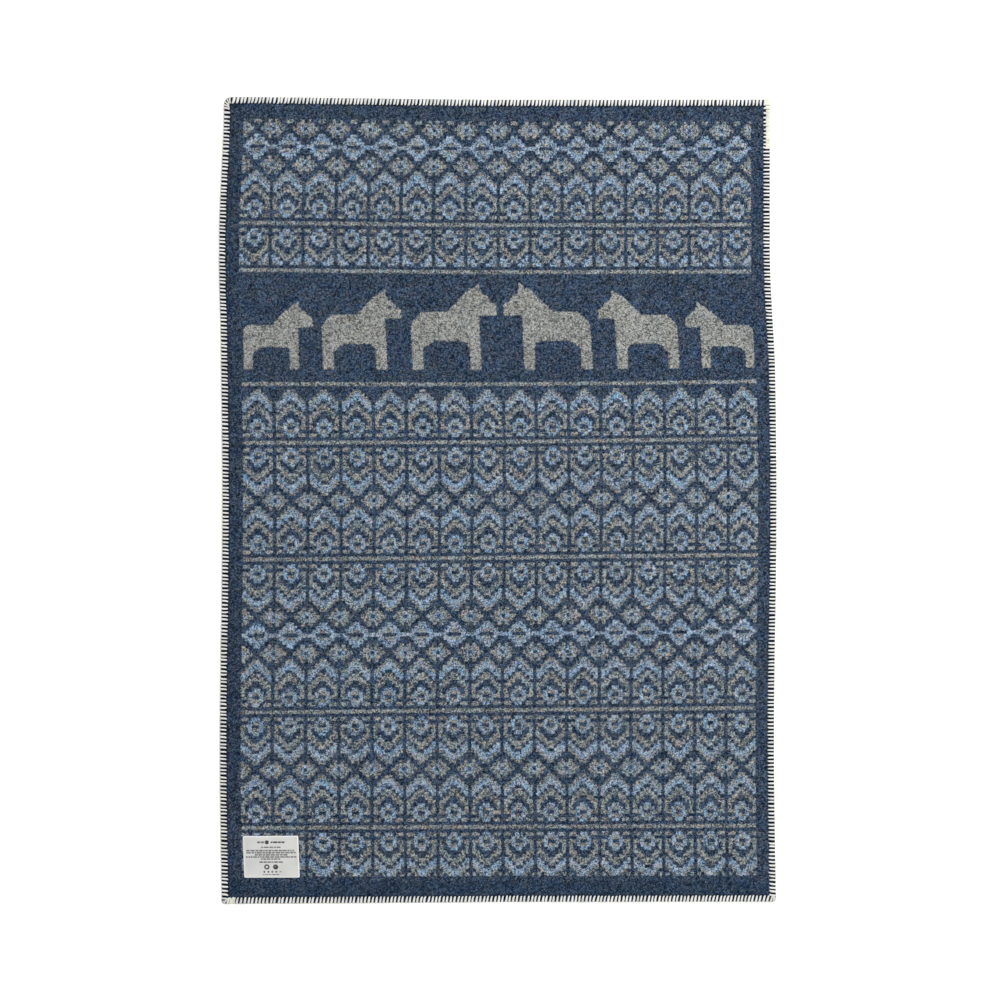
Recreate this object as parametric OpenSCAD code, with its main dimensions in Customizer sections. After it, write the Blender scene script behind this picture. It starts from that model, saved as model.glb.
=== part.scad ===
// Double-woven wool throw with a band of six dala horses.
// It lies flat: X across, Y along, +Z up, origin at the middle of the underside.

/* [Blanket] */
// Overall width across the edge stitching
blanket_w = 900; // [885:5:920]
// Overall length across the edge stitching
blanket_l = 1310; // [1295:5:1330]
// Thickness of each of the two woven layers
layer_t = 2; // [1.6:0.1:2.6]
// Radius of the cloth's four corners
corner_r = 12; // [8:1:14]

/* [Weave] */
// Width of one block of the weaving draft
block_w = 5.86; // [5.7:0.02:5.9]
// Height of one block of the weaving draft
block_h = 5.94; // [5.8:0.02:6]
// Number of motif repeats across the field
cells = 16; // [4:1:16]
// How far the pattern yarns stand above the ground cloth
float_t = 0.4; // [0.2:0.1:0.8]

/* [Horses] */
// Blocks across and up in a small horse
small_horse = [19.1, 18.5]; // [16:0.1:20]
// Blocks across and up in a middle horse
middle_horse = [21.8, 22]; // [20:0.1:23]
// Blocks across and up in a large horse
large_horse = [23.6, 24]; // [22:0.1:25]
// Distance from the field's middle to each horse's middle, large to small
horse_places = [76, 225, 360]; // [70:1:365]

/* [Edge stitching] */
// Distance from one stitch to the next along the edge
stitch_pitch = 6; // [5:0.5:8]
// Length of the stitch on the cloth, measured in from the edge
stitch_depth = 9.4; // [8:0.2:11]
// Width of the wool yarn that sews the edge
yarn_w = 2.6; // [2:0.1:3.2]
// How far the yarn stands out past the cloth's edge
yarn_out = 1.4; // [1:0.1:1.8]
// Length of the doubled stitching where the run ends
overlap_l = 64; // [40:4:90]

/* [Label] */
// Width of the sewn label
label_w = 91; // [80:1:96]
// Height of the sewn label
label_l = 69; // [60:1:72]
// Thickness of the label's folded satin tape
label_t = 0.5; // [0.4:0.1:0.8]
// Middle of the label on the cloth
label_pos = [-371, -581]; // [-600:1:600]

/* [Hidden] */

// Rows of the draft are counted from the bottom of the patterned field
field_rows = 209;
// Middle row of each thin stripe, from the top one down
stripe_rows = [180, 167, 136, 120, 88, 46, 14];
// Row that the horses' feet stand on
feet_row = 140;
// Rows from a stripe to the middle of the motifs beyond its arches
first_rosette = 16;
diamond_row = 21;
second_rosette = 26;

cell_cols = 9;
cell_w = cell_cols * block_w;
field_w = cells * cell_w;
field_shift = 2.7;
field_y = field_shift - field_rows * block_h / 2;

cloth_w = blanket_w - 2 * yarn_out;
cloth_l = blanket_l - 2 * yarn_out;
yarn_below = 0.8;
yarn_above = 1.2;
cloth_top = 2 * layer_t;
rim_top = cloth_top - yarn_below;
rim_w = stitch_depth + 1;
float_top = cloth_top + float_t;
label_top = float_top + label_t;
print_t = 0.1;
thread_t = 0.2;

navy = [0.13, 0.19, 0.29];
light_blue = [0.42, 0.53, 0.68];
grey = [0.55, 0.56, 0.56];
cream = [0.93, 0.93, 0.88];

// Height of the middle of a row of the draft
function row_y(row) = field_y + (row + 0.5) * block_h;

// Corners given in blocks, turned into millimetres
function blocks(points) = [for (p = points) [p[0] * block_w, p[1] * block_h]];

// A half outline and its mirror image, joined into one closed outline
function both_sides(half) = concat(
    half, [for (i = [len(half) - 1 : -1 : 0]) [-half[i][0], half[i][1]]]
);

module outline(points) polygon(blocks(points));

module block(left, bottom, right, top)
    translate([left * block_w, bottom * block_h])
        square([(right - left) * block_w, (top - bottom) * block_h]);

// Turns a flat drawing into yarn standing on the cloth's face
module floats(colour) color(colour) translate([0, 0, cloth_top]) linear_extrude(float_t) children();

// Repeats a motif in every cell of one row of the draft
module each_cell(row)
    for (i = [0 : cells - 1])
        translate([(i - (cells - 1) / 2) * cell_w, row_y(row)]) children();

// ---- Motifs, drawn in blocks about the middle of a cell ----

module arch_cap() outline(both_sides(
    [[1, 13.5], [4, 10.5], [4, 8.5], [3, 8.5], [1, 11.5]]
));

// The same cap where the field ends after the cut row: two blue corners
module cut_cap() for (side = [-1, 1])
    outline([for (p = [[4, 8.5], [3, 8.5], [1, 11.5], [4, 11.5]]) [side * p[0], p[1]]]);

module arch_ring() difference() {
    outline(both_sides([[1.2, 6.5], [2, 5.6], [2, 2.4], [1.2, 1.5]]));
    block(-1, 2.5, 1, 5.5);
}

module arch_outline() outline(both_sides(
    [[1, 14.5], [4, 11.5], [4, 10.5], [1, 13.5]]
));

module arch_frame() outline(both_sides(
    [[1, 10.5], [4, 7.5], [4, 3.5], [2, 3.5], [2, 4.5], [3, 4.5], [3, 6.5], [1, 8.5]]
));

module arch_blue(cut = false) {
    arch_ring();
    if (cut) cut_cap();
    else arch_cap();
}

module arch_grey(cut = false) {
    arch_frame();
    if (!cut) arch_outline();
}

module diamond_blue() difference() {
    outline(both_sides([
        [1, 3.5], [3, 1.5], [3.3, 0.5], [4.5, 0.5],
        [4.5, -0.5], [3.3, -0.5], [3, -1.5], [1, -3.5]
    ]));
    block(-1, -1.5, 1, 1.5);
    block(-2, -0.5, 2, 0.5);
}

// A rosette sits between two cells, so each cell holds two of its halves
module rosette_grey() for (side = [-1, 1])
    outline([for (p = [
        [4, 2.5], [3, 2.5], [1.2, 0.5], [1.2, -0.5], [3, -2.5],
        [4, -2.5], [4, -1], [3, 0], [4, 1]
    ]) [side * p[0], p[1]]]);

module rosette_blue() for (side = [-1, 1])
    outline([for (p = [
        [4.5, 1.5], [3, 0], [4.5, -1.5], [4.5, -0.5], [4, -0.5], [4, 0.5], [4.5, 0.5]
    ]) [side * p[0], p[1]]]);

// ---- Bands of motifs, from the top one down ----

module arches(row, up, cut = false) each_cell(row) mirror([0, up ? 0 : 1]) {
    if ($yarn == "blue") arch_blue(cut);
    else arch_grey(cut);
}

module rosettes(row) each_cell(row) {
    if ($yarn == "blue") rosette_blue();
    else rosette_grey();
}

module diamonds(row) each_cell(row) if ($yarn == "blue") diamond_blue();

module top_tips(row) each_cell(row) if ($yarn == "grey") block(-1, -0.5, 1, 0.5);

// Bands 4 to 6 lie between two stripes: arches hang from the upper one and
// stand on the lower one, with one rosette row or a diamond row between two
module full_band(upper, lower) {
    arches(upper, false);
    rosettes(upper - first_rosette);
    if (upper - lower > 2 * first_rosette) {
        diamonds(upper - diamond_row);
        rosettes(upper - second_rosette);
    }
    arches(lower, true);
}

module top_band(stripe_row) {
    arches(stripe_row, true);
    rosettes(stripe_row + first_rosette);
    diamonds(stripe_row + diamond_row);
    rosettes(stripe_row + second_rosette);
    top_tips(stripe_row + second_rosette + 2);
}

module band(i) {
    if (i == 1) top_band(stripe_rows[0]);
    if (i == 2) arches(stripe_rows[0], false, cut = true);
    if (i == 3) arches(stripe_rows[3], true);
    if (i > 3 && i < 7) full_band(stripe_rows[i - 1], stripe_rows[i]);
    if (i == 7) arches(stripe_rows[6], false);
}

module blue_band(i) floats(light_blue) band(i, $yarn = "blue");

module grey_band(i) floats(grey) band(i, $yarn = "grey");

module stripe(i) floats(grey)
    translate([0, row_y(stripe_rows[i - 1])])
        square([field_w - block_w, block_h * 0.92], center = true);

// ---- Horses ----

// Side view of the horse facing +X, as shares of its width and height
horse_shape = [
    [0, 0], [0, 0.57], [0.05, 0.61], [0.12, 0.665], [0.43, 0.665],
    [0.55, 0.79], [0.7, 0.93], [0.8, 1], [0.84, 0.88], [0.93, 0.8],
    [1, 0.74], [1, 0.63], [0.8, 0.63], [0.8, 0]
];
leg_w = 2.65;

module horse(i) {
    place = abs(i - 3.5) - 0.5;
    size = [large_horse, middle_horse, small_horse][place];
    side = i > 3 ? 1 : -1;
    leg = leg_w / size[0];
    belly = [[0.8 - leg, 0], [0.8 - leg, 0.27], [0.66, 0.335], [0.26, 0.335], [leg, 0.26], [leg, 0]];
    half_w = size[0] / 2;
    floats(grey)
        translate([side * horse_places[place], row_y(feet_row)])
            mirror([side > 0 ? 1 : 0, 0])
                outline([for (p = concat(horse_shape, belly)) [p[0] * size[0] - half_w, p[1] * size[1]]]);
}

// ---- Cloth ----

module rounded_sheet(inset) {
    r = corner_r - min(inset, corner_r - 4);
    w = cloth_w / 2 - inset - r;
    l = cloth_l / 2 - inset - r;
    for (x = [-w, w], y = [-l, l]) translate([x, y]) circle(r, $fn = 64);
    square([2 * w, 2 * (l + r)], center = true);
    square([2 * (w + r), 2 * l], center = true);
}

module cloth_back() color(navy) linear_extrude(layer_t) rounded_sheet(0);

// The face layer thins along the rim, where the stitches pull it down
module cloth_face() color(navy) translate([0, 0, layer_t]) {
    linear_extrude(rim_top - layer_t) rounded_sheet(0);
    linear_extrude(layer_t) rounded_sheet(rim_w);
}

// ---- Edge stitching ----

// One turn of the yarn on the cloth's face, for an edge at x = 0
module turn() translate([-stitch_depth, -yarn_w / 2]) square([stitch_depth + yarn_out / 2, yarn_w]);

// The yarn that runs along the edge between turns, and round the corner at its far end
module edge_run(length) {
    translate([0, -length / 2]) square([yarn_out, length]);
    translate([-corner_r, length / 2]) intersection() {
        difference() {
            circle(corner_r + yarn_out, $fn = 64);
            circle(corner_r, $fn = 64);
        }
        square(corner_r + yarn_out);
    }
}

// The turns of one side, with those of the corner at its far end fanned out
module turns(length) {
    count = floor((length - stitch_pitch) / stitch_pitch);
    for (i = [0 : count]) translate([0, (i - count / 2) * stitch_pitch]) turn();
    translate([-corner_r, length / 2])
        for (a = [30, 60]) rotate(a) translate([corner_r, 0]) turn();
}

// One side of the edge stitching, for a cloth side at x = 0
module edge_side(length) color(cream) {
    linear_extrude(rim_top) edge_run(length);
    translate([0, 0, rim_top]) linear_extrude(yarn_above) {
        edge_run(length);
        turns(length);
    }
}

module long_side() translate([cloth_w / 2, 0, 0]) edge_side(cloth_l - 2 * corner_r);

module short_side() translate([0, cloth_l / 2, 0]) rotate(90) edge_side(cloth_w - 2 * corner_r);

module stitch_right() long_side();

module stitch_left() rotate(180) long_side();

module stitch_top() short_side();

module stitch_bottom() rotate(180) short_side();

// The yarn's end, laid along the rim and sewn over once more
module stitch_overlap() color(cream)
    translate([cloth_w / 2 - 3, cloth_l / 2 - corner_r - overlap_l, rim_top + yarn_above])
        cube([2, overlap_l, 1]);

// ---- Label ----

module label() color([0.86, 0.86, 0.85])
    translate([label_pos[0], label_pos[1], float_top + label_t / 2])
        cube([label_w, label_l, label_t], center = true);

// A printed bar, placed by its middle in shares of the label's size
module print_bar(x, y, w, h)
    translate([label_pos[0] + x * label_w, label_pos[1] + y * label_l, label_top + print_t / 2])
        cube([w, h, print_t], center = true);

// Bars stand in for the wording and plain shapes for the care signs
module label_print() color([0.3, 0.3, 0.32]) {
    print_bar(0, 0.34, 34, 2);
    print_bar(0, 0.21, 16, 1);
    for (i = [0 : 3]) print_bar(0, 0.11 - i * 0.05, 60 - 3 * i, 0.9);
    print_bar(0, -0.12, 26, 0.9);
    for (x = [-0.07, 0.07])
        translate([label_pos[0] + x * label_w, label_pos[1] - 0.22 * label_l, label_top])
            cylinder(h = print_t, r = 3.4, $fn = 48);
    for (i = [-2 : 2]) print_bar(i * 0.06, -0.335, 3, 3);
    print_bar(0, -0.42, 22, 0.8);
}

// Short machine stitches just inside the label's folded edge
module label_thread() color(cream)
    translate([label_pos[0], label_pos[1], label_top + thread_t / 2]) {
        step = 5;
        edge_x = label_w / 2 - 2;
        edge_y = label_l / 2 - 2;
        across = floor(edge_x / step);
        along = floor(edge_y / step) - 1;
        for (side = [-1, 1]) {
            for (i = [-across : across]) translate([i * step, side * edge_y, 0])
                cube([3, 0.5, thread_t], center = true);
            for (i = [-along : along]) translate([side * edge_x, i * step, 0])
                cube([0.5, 3, thread_t], center = true);
        }
    }

cloth_back();
cloth_face();
for (i = [1 : 6]) horse(i);
for (i = [1 : 7]) stripe(i);
for (i = [1 : 7]) blue_band(i);
for (i = [1 : 7]) grey_band(i);
stitch_top();
stitch_bottom();
stitch_left();
stitch_right();
stitch_overlap();
label();
label_print();
label_thread();
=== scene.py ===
"""Looks of the wool throw: woven ground, pattern yarns, whipstitched edge and sewn label.

Everything is drawn flat first, in metres in the frame, and then laid on the floor by lay(),
which gives the throw its slow ripples and its slightly uneven outline.
"""

import math

import bpy
import numpy as np
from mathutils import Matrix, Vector


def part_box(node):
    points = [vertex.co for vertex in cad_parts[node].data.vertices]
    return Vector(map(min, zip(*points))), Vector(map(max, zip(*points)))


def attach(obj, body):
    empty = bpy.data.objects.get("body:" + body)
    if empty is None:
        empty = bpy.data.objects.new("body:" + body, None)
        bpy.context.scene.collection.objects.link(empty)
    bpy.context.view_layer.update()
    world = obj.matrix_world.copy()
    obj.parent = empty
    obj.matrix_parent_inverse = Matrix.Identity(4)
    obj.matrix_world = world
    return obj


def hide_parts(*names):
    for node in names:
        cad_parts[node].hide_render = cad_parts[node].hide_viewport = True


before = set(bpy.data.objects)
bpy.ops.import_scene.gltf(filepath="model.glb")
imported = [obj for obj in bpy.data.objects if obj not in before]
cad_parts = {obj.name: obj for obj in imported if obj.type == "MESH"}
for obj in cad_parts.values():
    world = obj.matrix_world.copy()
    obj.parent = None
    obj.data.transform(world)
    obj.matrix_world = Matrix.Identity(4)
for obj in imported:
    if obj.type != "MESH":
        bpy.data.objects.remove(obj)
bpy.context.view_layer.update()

MM = 0.001
RNG = np.random.default_rng(11)

# ---- Sizes, all from the frame ----

FACE_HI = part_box("cloth_face")[1]
HALF_W, HALF_L = FACE_HI.x, FACE_HI.y
MIDDLE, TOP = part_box("cloth_back")[1].z, FACE_HI.z
FLOAT_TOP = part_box("stripe_1")[1].z
# Radii of the corners, in mm, anticlockwise from the upper right one
CORNER_RADII = np.array([4, 12, 5, 6]) * MM

# The weaving draft: 16 cells of 8 motif columns, with one ground column between cells
CELLS = 16
CELL_COLS = 9
FIELD_COLS = CELLS * CELL_COLS - 1
FIELD_ROWS = 209
STRIPE_ROWS = (180, 167, 136, 120, 88, 46, 14)
FIRST_ROSETTE, DIAMOND_ROW, SECOND_ROSETTE = 16, 21, 26


def middle(node):
    """The middle of a CAD node's box."""
    low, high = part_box(node)
    return (low + high) / 2


FIELD_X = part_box("stripe_1")[0].x
BLOCK_W = -2 * FIELD_X / FIELD_COLS
BLOCK_H = (middle("stripe_1").y - middle("stripe_7").y) / (STRIPE_ROWS[0] - STRIPE_ROWS[-1])
FIELD_Y = middle("stripe_7").y - (STRIPE_ROWS[-1] + 0.5) * BLOCK_H

# ---- How the throw lies ----

# How the throw wanders from its flat outline, as cloth that is laid out loosely does
WAVE, WAVE_LONG = 2 * MM, 0.8  # a slow sideways wave in its lower part, and that wave's length
MIDDLE_RIGHT, MIDDLE_RIGHT_TOP = 9 * MM, 1 * MM  # how far right its middle lies, low down and at the top
RIGHT_OUT, RIGHT_IN = 2.5 * MM, 6.5 * MM  # how far the right side is pulled out, and drawn in at the top
UPPER_FROM, UPPER_TO = 0.2, 0.42  # where along the throw these change
LEFT_RIGHT, LEFT_DIP, LEFT_TOP = 1 * MM, 3.5 * MM, 8 * MM  # its left side: low, by the horses, at the top
DIP_FROM, DIP_TO = 0.25, 0.4
BORDER_LEFT, BORDER_RIGHT, BORDER_TOP = 3 * MM, 1.5 * MM, 5.5 * MM  # how far its plain borders are stretched
BORDER_BOTTOM, CORNER_LOW = 1 * MM, 2 * MM  # the bottom border's stretch, and the lower left corner's own
FIELD_SHARE, FIELD_END = 0.94, 0.62  # about where they begin: share of its half width, and metres along
TILT, LIFT, FALL = 4 * MM, 1.5 * MM, 5.5 * MM  # its lines' tilt and lift, and how far the upper ones sink
TILT_RISES, TILT_FADES = (-0.8, -0.3), (0, 0.4)  # where along the throw the tilt comes and goes
FALL_FROM, FALL_LATER = -0.3, 0.4  # where they start to sink, and how much later at the right
LEFT_FALL = 0.2  # share of that sinking at the left


def step_up(t, start, end):
    """A smooth step from 0 at start to 1 at end."""
    t = np.clip((t - start) / (end - start), 0, 1)
    return t * t * (3 - 2 * t)


def sideways(x, y):
    """How far right of its flat place each point lies."""
    u, upper = x / HALF_W, step_up(y, UPPER_FROM, UPPER_TO)
    wave = WAVE * np.cos(2 * math.pi * y / WAVE_LONG) * (1 - upper)
    middle_part = (1 - u**2) * (MIDDLE_RIGHT + (MIDDLE_RIGHT_TOP - MIDDLE_RIGHT) * upper)
    right = np.clip(u, 0, 1) * (RIGHT_OUT - (RIGHT_OUT + RIGHT_IN) * upper)
    left = LEFT_RIGHT - LEFT_DIP * step_up(y, DIP_FROM, DIP_TO) + LEFT_TOP * step_up(y, UPPER_TO, HALF_L)
    borders = BORDER_RIGHT * step_up(u, FIELD_SHARE, 1) - BORDER_LEFT * step_up(-u, FIELD_SHARE, 1)
    return wave + middle_part + right + np.clip(-u, 0, 1) * left + borders


def upwards(x, y):
    """How far above its flat place, as the throw is seen, each point lies."""
    u = x / HALF_W
    tilt = TILT * u * step_up(y, *TILT_RISES) * (1 - step_up(y, *TILT_FADES))
    sinking = step_up(y, FALL_FROM + FALL_LATER * np.clip(u, 0, 1), FIELD_END)
    fall = FALL * sinking * (LEFT_FALL + (1 - LEFT_FALL) * step_up(u, -1, 0))
    low = (BORDER_BOTTOM + CORNER_LOW * np.clip(-u, 0, 1)) * step_up(-y, FIELD_END, HALF_L)
    return tilt + LIFT - fall - low + BORDER_TOP * step_up(y, FIELD_END, HALF_L)


# Slow ripples: wavelength in metres across and along, height in mm and phase
RIPPLES = (
    (0.62, 1.9, 0.5, 0.4),
    (1.7, 0.43, 0.5, 2.1),
    (0.31, -0.55, 0.3, 4.0),
    (0.24, 0.9, 0.18, 1.2),
    (-0.7, 0.21, 0.2, 5.2),
)


def ripple(x, y):
    """How far the throw stands off the floor."""
    height = np.zeros(len(x))
    for across, along, size, phase in RIPPLES:
        height += size * MM * (1 + np.sin(2 * math.pi * (x / across + y / along) + phase))
    return height


def lay(points):
    """Flat points, laid on the floor as the throw lies."""
    x, y, z = points.T
    return np.stack([x + sideways(x, y), y + upwards(x, y), z + ripple(x, y)], axis=1)


# ---- Curve and mesh helpers ----

UP = np.array([0, 0, 1.0])


def slopes(at, values):
    """Slopes for a smooth curve through values."""
    inner = (values[2:] - values[:-2]) / (at[2:] - at[:-2])
    first = (values[1] - values[0]) / (at[1] - at[0])
    last = (values[-1] - values[-2]) / (at[-1] - at[-2])
    return np.concatenate([[first], inner, [last]])


def smooth(x, at, values):
    """A smooth curve through values given at the places at, which reach as far as x does."""
    i = np.clip(np.searchsorted(at, x, side="right") - 1, 0, len(at) - 2)
    step = at[i + 1] - at[i]
    t = (x - at[i]) / step
    bend = slopes(at, values)
    return (
        values[i] * (2 * t**3 - 3 * t**2 + 1)
        + bend[i] * step * (t**3 - 2 * t**2 + t)
        + values[i + 1] * (3 * t**2 - 2 * t**3)
        + bend[i + 1] * step * (t**3 - t**2)
    )


def make(name, points, quads, material, nodes=(), slot=None, shade_smooth=True):
    """A mesh piece of quads, laid on the floor, that rides on the one body."""
    points, quads = lay(np.asarray(points, float)), np.asarray(quads, np.int32)
    mesh = bpy.data.meshes.new(name)
    mesh.vertices.add(len(points))
    mesh.vertices.foreach_set("co", points.astype(np.float32).ravel())
    mesh.loops.add(quads.size)
    mesh.loops.foreach_set("vertex_index", quads.ravel())
    mesh.polygons.add(len(quads))
    mesh.polygons.foreach_set("loop_start", np.arange(0, quads.size, 4, dtype=np.int32))
    mesh.polygons.foreach_set("use_smooth", np.full(len(quads), shade_smooth))
    mesh.update(calc_edges=True)
    mesh.validate()
    mesh.materials.append(material)
    piece = bpy.data.objects.new(name, mesh)
    bpy.context.scene.collection.objects.link(piece)
    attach(piece, "root")
    if nodes:
        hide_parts(*nodes)
    return piece


def paint(piece, name, values):
    """Gives every point of a piece a value that its material reads."""
    attribute = piece.data.attributes.new(name, "FLOAT", "POINT")
    attribute.data.foreach_set("value", np.asarray(values, np.float32))


def round_off(x, y, half_w, half_l, r):
    """Moves the points of a sheet's square corners into quarter discs, and measures all from its edge."""
    a = np.clip((np.abs(x) - half_w + r) / r, 0, 1)
    b = np.clip((np.abs(y) - half_l + r) / r, 0, 1)
    corner = (a > 0) & (b > 0)
    a2, b2 = a * np.sqrt(1 - b * b / 2), b * np.sqrt(1 - a * a / 2)
    x = np.where(corner, np.sign(x) * (half_w - r + a2 * r), x)
    y = np.where(corner, np.sign(y) * (half_l - r + b2 * r), y)
    straight = np.minimum(half_w - np.abs(x), half_l - np.abs(y))
    return x, y, np.where(corner, r * (1 - np.hypot(a2, b2)), straight)


def grid_quads(rows, cols):
    """Quads of a grid of points, counted along each row."""
    first = (np.arange(rows - 1)[:, None] * cols + np.arange(cols - 1)[None, :]).ravel()
    return np.stack([first, first + 1, first + cols + 1, first + cols], axis=1)


def lumps(shape, size, keep=0.5):
    """Soft random unevenness on a grid of points."""
    noise = RNG.normal(0, size, shape)
    near = (np.roll(noise, 1, 0) + np.roll(noise, -1, 0) + np.roll(noise, 1, 1) + np.roll(noise, -1, 1)) / 4
    return keep * noise + (1 - keep) * near * 2


# ---- Cloth ----

# Distance from the cloth's edge in mm, and how high its face lies there
RIM_LINES = (0, 0.5, 1.4, 3, 5, 7, 8.6, 9.8, 11.2, 13)
RIM_HEIGHTS = (2.0, 2.75, 3.15, 3.25, 3.3, 3.25, 3.1, 3.1, 3.65, 4.0)
BACK_HEIGHTS = (2.0, 1.3, 1.0, 0.9, 0.85, 0.8, 0.7, 0.5, 0.2, 0.0)
FACE_STEP, BACK_STEP = 3.6 * MM, 12 * MM  # mesh cells of the two cloths
NAP = 0.1 * MM  # unevenness of the upper cloth's face
PACKED_SHADE_BAND = (8.5, 11.5)  # painted shade between the stitches, where they also pack the cloth down, reaches up to here, in mm from its edge
PACKED_SHADE_BOTTOM, PACKED_SHADE_TOP = 0.3, 0.0  # how dark the painted shade is between the stitches of those sides
PACKED_SHADE_FROM = 0.985  # where along the throw those sides begin, as a share of its half length
PAINTED_SHADE_LEFT = 0.18  # how dark the painted shade on the plain border left of the pattern is
PAINTED_SHADE_BELOW = 0.28  # how far the painted shade on the plain border below the pattern goes towards a deeper blue


def cloth_lines(half, step):
    """Places of the grid lines across a cloth: close together along the rim, even elsewhere."""
    rim = np.array(RIM_LINES) * MM
    inner = half - rim[-1]
    even = np.linspace(-inner, inner, round(2 * inner / step) + 1)
    return np.concatenate([-half + rim[:-1], even, (half - rim[:-1])[::-1]])


def corner_radii(x, y):
    """The radius of the cloth's corner nearest to each point."""
    upper_right, upper_left, lower_left, lower_right = CORNER_RADII
    upper, lower = np.where(x > 0, upper_right, upper_left), np.where(x > 0, lower_right, lower_left)
    return np.where(y > 0, upper, lower)


def cloth(name, step, heights, roughness, face_down, material, node):
    """One of the two woven layers, as a sheet whose edge turns to meet the other."""
    xs, ys = cloth_lines(HALF_W, step), cloth_lines(HALF_L, step)
    x, y = (a.ravel() for a in np.meshgrid(xs, ys))
    x, y, inside = round_off(x, y, HALF_W, HALF_L, corner_radii(x, y))
    z = np.interp(inside / MM, RIM_LINES, heights) * MM
    bumps = lumps((len(ys), len(xs)), roughness).ravel()
    z = z + np.where(inside > RIM_LINES[-2] * MM, bumps, 0)
    quads = grid_quads(len(ys), len(xs))
    if face_down:
        quads = quads[:, ::-1]
    piece = make(name, np.stack([x, y, z], axis=1), quads, material, (node,), "ground_wool")
    # Painted shade between the edge stitches, where they also pack the cloth down
    packing_and_shade = np.interp(inside / MM, PACKED_SHADE_BAND, (1, 0))
    sides = (-1, -PACKED_SHADE_FROM, PACKED_SHADE_FROM, 1)
    packing_and_shade *= np.interp(y / HALF_L, sides, (PACKED_SHADE_BOTTOM, 1, 1, PACKED_SHADE_TOP))
    # Painted shade on the plain border left of the pattern
    left = np.interp(x, (FIELD_X - BLOCK_W, FIELD_X), (PAINTED_SHADE_LEFT, 0))
    paint(piece, "packing_and_shade", np.maximum(packing_and_shade, left))
    # Painted shade, towards a deeper blue, on the plain border below the pattern
    paint(piece, "painted_shade_below", np.interp(y, (FIELD_Y - BLOCK_H, FIELD_Y), (PAINTED_SHADE_BELOW, 0)))
    return piece


# ---- The weaving draft ----

NAVY, BLUE, GREY = 0, 1, 2
YARN = {".": NAVY, "b": BLUE, "g": GREY}

# Half of each motif, from the middle of a cell outwards, then the column between two cells
ARCH = ("..... b.gg. gb... .bgg. gb.g. b..g. ..gg. .gg.. gg.b. g.bb. .bbg. bbg.. bg... g....").split()
ROSETTE = ("...g. ..ggb .ggb. ..ggb ...g.").split()
DIAMOND = ("b.... bb... gbb.. ..bbb gbb.. bb... b....").split()
TIP = ("g....",)
CUT_ARCH_ROWS = 11  # rows of the arches that hang below the first stripe
LAST_ROW = ["bg.g."]  # the pattern's lowest row, where the last arch is cut and the next motif starts


def draft_row(half):
    """One row of the draft, from a motif's half row and the column after it."""
    codes = [YARN[c] for c in half]
    return (codes[3::-1] + codes[:4] + codes[4:]) * CELLS


def weave(draft, rows, first, up=True):
    """Writes a motif's rows into the draft, leaving what is already there."""
    for i, half in enumerate(rows):
        row = np.array(draft_row(half)[:FIELD_COLS])
        place = first + i if up else first - i
        draft[place] = np.where(row != NAVY, row, draft[place])


def draw_bands():
    """The motif bands and stripes, one number for each block."""
    draft = np.zeros((FIELD_ROWS, FIELD_COLS), np.int8)
    s = STRIPE_ROWS
    for stripe in (s[0], s[3], s[4], s[5], s[6]):
        weave(draft, ARCH, stripe + 1)
    for stripe in (s[3], s[4], s[5]):
        weave(draft, ARCH, stripe - 1, up=False)
    weave(draft, ARCH[:CUT_ARCH_ROWS], s[0] - 1, up=False)
    weave(draft, ARCH[:-2] + LAST_ROW, s[6] - 1, up=False)
    for centre in (s[0] + FIRST_ROSETTE, s[0] + SECOND_ROSETTE, s[4] - SECOND_ROSETTE):
        weave(draft, ROSETTE, centre - 2)
    for stripe in (s[3], s[4], s[5]):
        weave(draft, ROSETTE, stripe - FIRST_ROSETTE - 2)
    for centre in (s[0] + DIAMOND_ROW, s[4] - DIAMOND_ROW):
        weave(draft, DIAMOND, centre - 3)
    weave(draft, TIP, FIELD_ROWS - 1)
    for stripe in s:
        draft[stripe] = GREY
    return draft


# Heights of a horse's rump, back and belly, and the place of its chest, as shares of its size
SMALL, MIDDLING, LARGE = (0.57, 0.66, 0.33, 0.78), (0.54, 0.68, 0.32, 0.79), (0.52, 0.667, 0.333, 0.795)
HORSE_SIZES = (SMALL, MIDDLING, LARGE, LARGE, MIDDLING, SMALL)
HIND_LEG_BLOCKS = 2.65
EYE = (0.86, 0.777)  # its middle, as shares of the horse's size
EYE_THREADS = 1.1  # how far the eye reaches from its middle


def horse_outline(width, size):
    """Side view of the horse facing right, as shares of its width and height."""
    rump, back, belly, chest = size
    leg = HIND_LEG_BLOCKS * BLOCK_W / width
    rear = ((0, 0), (0, rump), (0.05, rump + 0.08), (0.12, back))
    neck = ((0.43, back), (0.5, 0.738), (0.555, 0.8), (0.63, 0.865), (0.68, 0.92), (0.75, 0.95))
    head = ((0.808, 1), (0.835, 0.88), (0.9, 0.84), (0.94, 0.785), (1, 0.745), (1, 0.63))
    front = ((chest, 0.63), (chest, 0), (0.665, 0), (0.665, belly - 0.068))
    under = ((0.63, belly - 0.021), (0.575, belly), (0.255, belly), (0.2, belly - 0.033))
    hind = ((leg, belly - 0.1), (leg, 0))
    return np.array(rear + neck + head + front + under + hind)


def inside_outline(x, y, outline):
    """Which points lie inside a closed outline."""
    inside = np.zeros(x.shape, bool)
    for (x1, y1), (x2, y2) in zip(outline, np.roll(outline, -1, axis=0), strict=True):
        if y1 != y2:
            crossing = (y1 > y) != (y2 > y)
            inside ^= crossing & (x < (x2 - x1) * (y - y1) / (y2 - y1) + x1)
    return inside


THREADS = 2  # threads of the draft in one block, each way
THREAD_W, THREAD_H = BLOCK_W / THREADS, BLOCK_H / THREADS


def thread_places():
    """The middle of every thread of the field."""
    x = FIELD_X + (np.arange(FIELD_COLS * THREADS) + 0.5) * THREAD_W
    y = FIELD_Y + (np.arange(FIELD_ROWS * THREADS) + 0.5) * THREAD_H
    return np.meshgrid(x, y)


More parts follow.
